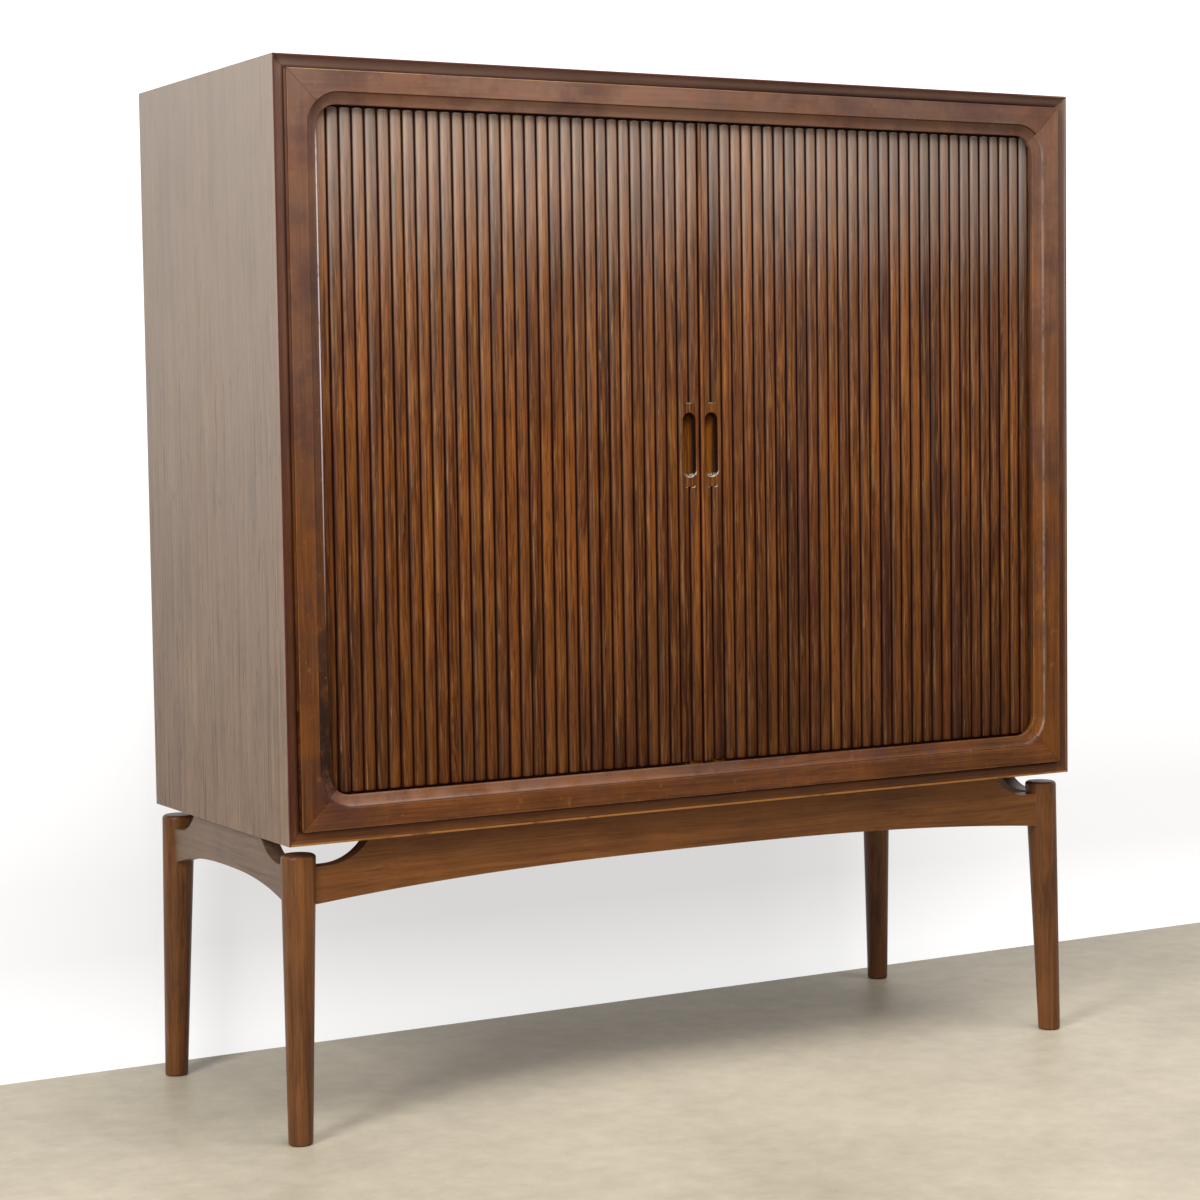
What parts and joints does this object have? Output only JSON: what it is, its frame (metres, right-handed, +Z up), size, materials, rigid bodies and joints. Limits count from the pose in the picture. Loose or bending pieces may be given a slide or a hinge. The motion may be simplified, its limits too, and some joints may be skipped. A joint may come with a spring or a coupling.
{
  "type": "tambour door cabinet",
  "caption": "Shallow upright cabinet whose slatted sliding doors part at the middle, in a raised mitred frame, on a separate stand of round tapered legs and arched aprons.",
  "frame": {"origin": "on the floor, below the middle of the case", "axes": "+Z up, the doors face -Y, +X to the right of someone facing the doors"},
  "size_m": [1.18, 0.4596, 1.305],
  "materials": {
    "case_veneer": "satin oiled veneer",
    "frame_wood": "satin oiled",
    "slat_wood": "satin oiled, worn",
    "leg_wood": "satin oiled",
    "apron_wood": "satin oiled",
    "inside_veneer": "matt",
    "back_ply": "matt unfinished"
  },
  "bodies": {
    "cabinet": {"top_panel": "case_veneer", "bottom_panel": "case_veneer", "left_side_panel": "case_veneer", "right_side_panel": "case_veneer", "back_panel": "back_ply", "frame_top_rail": "frame_wood", "frame_bottom_rail": "frame_wood", "frame_left_stile": "frame_wood", "frame_right_stile": "frame_wood", "left_corner_slats": "slat_wood", "right_corner_slats": "slat_wood", "left_liner": "inside_veneer", "right_liner": "inside_veneer", "inner_back": "inside_veneer", "centre_partition": "inside_veneer", "left_shelf_1": "inside_veneer", "left_shelf_2": "inside_veneer", "right_shelf_1": "inside_veneer", "right_shelf_2": "inside_veneer", "front_left_leg": "leg_wood", "front_right_leg": "leg_wood", "back_left_leg": "leg_wood", "back_right_leg": "leg_wood", "front_apron": "apron_wood", "back_apron": "apron_wood", "left_apron": "apron_wood", "right_apron": "apron_wood"},
    "left_door_lead": {"left_lead_stile": "slat_wood", "meeting_bead": "slat_wood"},
    "right_door_lead": {"right_lead_stile": "slat_wood"},
    "left_slats_01": {"left_slats_01": "slat_wood"},
    "left_slats_02": {"left_slats_02": "slat_wood"},
    "left_slats_03": {"left_slats_03": "slat_wood"},
    "left_slats_04": {"left_slats_04": "slat_wood"},
    "left_slats_05": {"left_slats_05": "slat_wood"},
    "left_slats_06": {"left_slats_06": "slat_wood"},
    "left_slats_07": {"left_slats_07": "slat_wood"},
    "left_slats_08": {"left_slats_08": "slat_wood"},
    "left_slats_09": {"left_slats_09": "slat_wood"},
    "left_slats_10": {"left_slats_10": "slat_wood"},
    "left_slats_11": {"left_slats_11": "slat_wood"},
    "left_slats_12": {"left_slats_12": "slat_wood"},
    "left_slats_13": {"left_slats_13": "slat_wood"},
    "left_slats_14": {"left_slats_14": "slat_wood"},
    "left_slats_15": {"left_slats_15": "slat_wood"},
    "right_slats_01": {"right_slats_01": "slat_wood"},
    "right_slats_02": {"right_slats_02": "slat_wood"},
    "right_slats_03": {"right_slats_03": "slat_wood"},
    "right_slats_04": {"right_slats_04": "slat_wood"},
    "right_slats_05": {"right_slats_05": "slat_wood"},
    "right_slats_06": {"right_slats_06": "slat_wood"},
    "right_slats_07": {"right_slats_07": "slat_wood"},
    "right_slats_08": {"right_slats_08": "slat_wood"},
    "right_slats_09": {"right_slats_09": "slat_wood"},
    "right_slats_10": {"right_slats_10": "slat_wood"},
    "right_slats_11": {"right_slats_11": "slat_wood"},
    "right_slats_12": {"right_slats_12": "slat_wood"},
    "right_slats_13": {"right_slats_13": "slat_wood"},
    "right_slats_14": {"right_slats_14": "slat_wood"},
    "right_slats_15": {"right_slats_15": "slat_wood"}
  },
  "joints": [
    {"name": "left_door_slide", "type": "slide", "parent": "cabinet", "child": "left_door_lead", "axis": [-1, 0, 0], "range_m": [0, 0.5]},
    {"name": "right_door_slide", "type": "slide", "parent": "cabinet", "child": "right_door_lead", "axis": [1, 0, 0], "range_m": [0, 0.5]},
    {"name": "left_slats_01_slide", "type": "slide", "parent": "cabinet", "child": "left_slats_01", "axis": [-1, 0, 0], "range_m": [0, 0.03325], "deforming": ["left_slats_01"]},
    {"name": "left_slats_02_slide", "type": "slide", "parent": "cabinet", "child": "left_slats_02", "axis": [-1, 0, 0], "range_m": [0, 0.06663], "deforming": ["left_slats_02"]},
    {"name": "left_slats_03_slide", "type": "slide", "parent": "cabinet", "child": "left_slats_03", "axis": [-1, 0, 0], "range_m": [0, 0.1], "deforming": ["left_slats_03"]},
    {"name": "left_slats_04_slide", "type": "slide", "parent": "cabinet", "child": "left_slats_04", "axis": [-1, 0, 0], "range_m": [0, 0.13337], "deforming": ["left_slats_04"]},
    {"name": "left_slats_05_slide", "type": "slide", "parent": "cabinet", "child": "left_slats_05", "axis": [-1, 0, 0], "range_m": [0, 0.16675], "deforming": ["left_slats_05"]},
    {"name": "left_slats_06_slide", "type": "slide", "parent": "cabinet", "child": "left_slats_06", "axis": [-1, 0, 0], "range_m": [0, 0.20012], "deforming": ["left_slats_06"]},
    {"name": "left_slats_07_slide", "type": "slide", "parent": "cabinet", "child": "left_slats_07", "axis": [-1, 0, 0], "range_m": [0, 0.2335], "deforming": ["left_slats_07"]},
    {"name": "left_slats_08_slide", "type": "slide", "parent": "cabinet", "child": "left_slats_08", "axis": [-1, 0, 0], "range_m": [0, 0.26687], "deforming": ["left_slats_08"]},
    {"name": "left_slats_09_slide", "type": "slide", "parent": "cabinet", "child": "left_slats_09", "axis": [-1, 0, 0], "range_m": [0, 0.30025], "deforming": ["left_slats_09"]},
    {"name": "left_slats_10_slide", "type": "slide", "parent": "cabinet", "child": "left_slats_10", "axis": [-1, 0, 0], "range_m": [0, 0.33363], "deforming": ["left_slats_10"]},
    {"name": "left_slats_11_slide", "type": "slide", "parent": "cabinet", "child": "left_slats_11", "axis": [-1, 0, 0], "range_m": [0, 0.367], "deforming": ["left_slats_11"]},
    {"name": "left_slats_12_slide", "type": "slide", "parent": "cabinet", "child": "left_slats_12", "axis": [-1, 0, 0], "range_m": [0, 0.40037], "deforming": ["left_slats_12"]},
    {"name": "left_slats_13_slide", "type": "slide", "parent": "cabinet", "child": "left_slats_13", "axis": [-1, 0, 0], "range_m": [0, 0.43375], "deforming": ["left_slats_13"]},
    {"name": "left_slats_14_slide", "type": "slide", "parent": "cabinet", "child": "left_slats_14", "axis": [-1, 0, 0], "range_m": [0, 0.46713], "deforming": ["left_slats_14"]},
    {"name": "left_slats_15_slide", "type": "slide", "parent": "cabinet", "child": "left_slats_15", "axis": [-1, 0, 0], "range_m": [0, 0.5005], "deforming": ["left_slats_15"]},
    {"name": "right_slats_01_slide", "type": "slide", "parent": "cabinet", "child": "right_slats_01", "axis": [1, 0, 0], "range_m": [0, 0.03325], "deforming": ["right_slats_01"]},
    {"name": "right_slats_02_slide", "type": "slide", "parent": "cabinet", "child": "right_slats_02", "axis": [1, 0, 0], "range_m": [0, 0.06663], "deforming": ["right_slats_02"]},
    {"name": "right_slats_03_slide", "type": "slide", "parent": "cabinet", "child": "right_slats_03", "axis": [1, 0, 0], "range_m": [0, 0.1], "deforming": ["right_slats_03"]},
    {"name": "right_slats_04_slide", "type": "slide", "parent": "cabinet", "child": "right_slats_04", "axis": [1, 0, 0], "range_m": [0, 0.13337], "deforming": ["right_slats_04"]},
    {"name": "right_slats_05_slide", "type": "slide", "parent": "cabinet", "child": "right_slats_05", "axis": [1, 0, 0], "range_m": [0, 0.16675], "deforming": ["right_slats_05"]},
    {"name": "right_slats_06_slide", "type": "slide", "parent": "cabinet", "child": "right_slats_06", "axis": [1, 0, 0], "range_m": [0, 0.20012], "deforming": ["right_slats_06"]},
    {"name": "right_slats_07_slide", "type": "slide", "parent": "cabinet", "child": "right_slats_07", "axis": [1, 0, 0], "range_m": [0, 0.2335], "deforming": ["right_slats_07"]},
    {"name": "right_slats_08_slide", "type": "slide", "parent": "cabinet", "child": "right_slats_08", "axis": [1, 0, 0], "range_m": [0, 0.26687], "deforming": ["right_slats_08"]},
    {"name": "right_slats_09_slide", "type": "slide", "parent": "cabinet", "child": "right_slats_09", "axis": [1, 0, 0], "range_m": [0, 0.30025], "deforming": ["right_slats_09"]},
    {"name": "right_slats_10_slide", "type": "slide", "parent": "cabinet", "child": "right_slats_10", "axis": [1, 0, 0], "range_m": [0, 0.33363], "deforming": ["right_slats_10"]},
    {"name": "right_slats_11_slide", "type": "slide", "parent": "cabinet", "child": "right_slats_11", "axis": [1, 0, 0], "range_m": [0, 0.367], "deforming": ["right_slats_11"]},
    {"name": "right_slats_12_slide", "type": "slide", "parent": "cabinet", "child": "right_slats_12", "axis": [1, 0, 0], "range_m": [0, 0.40037], "deforming": ["right_slats_12"]},
    {"name": "right_slats_13_slide", "type": "slide", "parent": "cabinet", "child": "right_slats_13", "axis": [1, 0, 0], "range_m": [0, 0.43375], "deforming": ["right_slats_13"]},
    {"name": "right_slats_14_slide", "type": "slide", "parent": "cabinet", "child": "right_slats_14", "axis": [1, 0, 0], "range_m": [0, 0.46713], "deforming": ["right_slats_14"]},
    {"name": "right_slats_15_slide", "type": "slide", "parent": "cabinet", "child": "right_slats_15", "axis": [1, 0, 0], "range_m": [0, 0.5005], "deforming": ["right_slats_15"]}
  ],
  "couplings": [
    {"joint": "left_slats_01_slide", "follows": "left_door_slide", "ratio": 0.0655},
    {"joint": "left_slats_02_slide", "follows": "left_door_slide", "ratio": 0.13225},
    {"joint": "left_slats_03_slide", "follows": "left_door_slide", "ratio": 0.199},
    {"joint": "left_slats_04_slide", "follows": "left_door_slide", "ratio": 0.26575},
    {"joint": "left_slats_05_slide", "follows": "left_door_slide", "ratio": 0.3325},
    {"joint": "left_slats_06_slide", "follows": "left_door_slide", "ratio": 0.39925},
    {"joint": "left_slats_07_slide", "follows": "left_door_slide", "ratio": 0.466},
    {"joint": "left_slats_08_slide", "follows": "left_door_slide", "ratio": 0.53275},
    {"joint": "left_slats_09_slide", "follows": "left_door_slide", "ratio": 0.5995},
    {"joint": "left_slats_10_slide", "follows": "left_door_slide", "ratio": 0.66625},
    {"joint": "left_slats_11_slide", "follows": "left_door_slide", "ratio": 0.733},
    {"joint": "left_slats_12_slide", "follows": "left_door_slide", "ratio": 0.79975},
    {"joint": "left_slats_13_slide", "follows": "left_door_slide", "ratio": 0.8665},
    {"joint": "left_slats_14_slide", "follows": "left_door_slide", "ratio": 0.93325},
    {"joint": "left_slats_15_slide", "follows": "left_door_slide", "ratio": 1},
    {"joint": "right_slats_01_slide", "follows": "right_door_slide", "ratio": 0.0655},
    {"joint": "right_slats_02_slide", "follows": "right_door_slide", "ratio": 0.13225},
    {"joint": "right_slats_03_slide", "follows": "right_door_slide", "ratio": 0.199},
    {"joint": "right_slats_04_slide", "follows": "right_door_slide", "ratio": 0.26575},
    {"joint": "right_slats_05_slide", "follows": "right_door_slide", "ratio": 0.3325},
    {"joint": "right_slats_06_slide", "follows": "right_door_slide", "ratio": 0.39925},
    {"joint": "right_slats_07_slide", "follows": "right_door_slide", "ratio": 0.466},
    {"joint": "right_slats_08_slide", "follows": "right_door_slide", "ratio": 0.53275},
    {"joint": "right_slats_09_slide", "follows": "right_door_slide", "ratio": 0.5995},
    {"joint": "right_slats_10_slide", "follows": "right_door_slide", "ratio": 0.66625},
    {"joint": "right_slats_11_slide", "follows": "right_door_slide", "ratio": 0.733},
    {"joint": "right_slats_12_slide", "follows": "right_door_slide", "ratio": 0.79975},
    {"joint": "right_slats_13_slide", "follows": "right_door_slide", "ratio": 0.8665},
    {"joint": "right_slats_14_slide", "follows": "right_door_slide", "ratio": 0.93325},
    {"joint": "right_slats_15_slide", "follows": "right_door_slide", "ratio": 1}
  ]
}
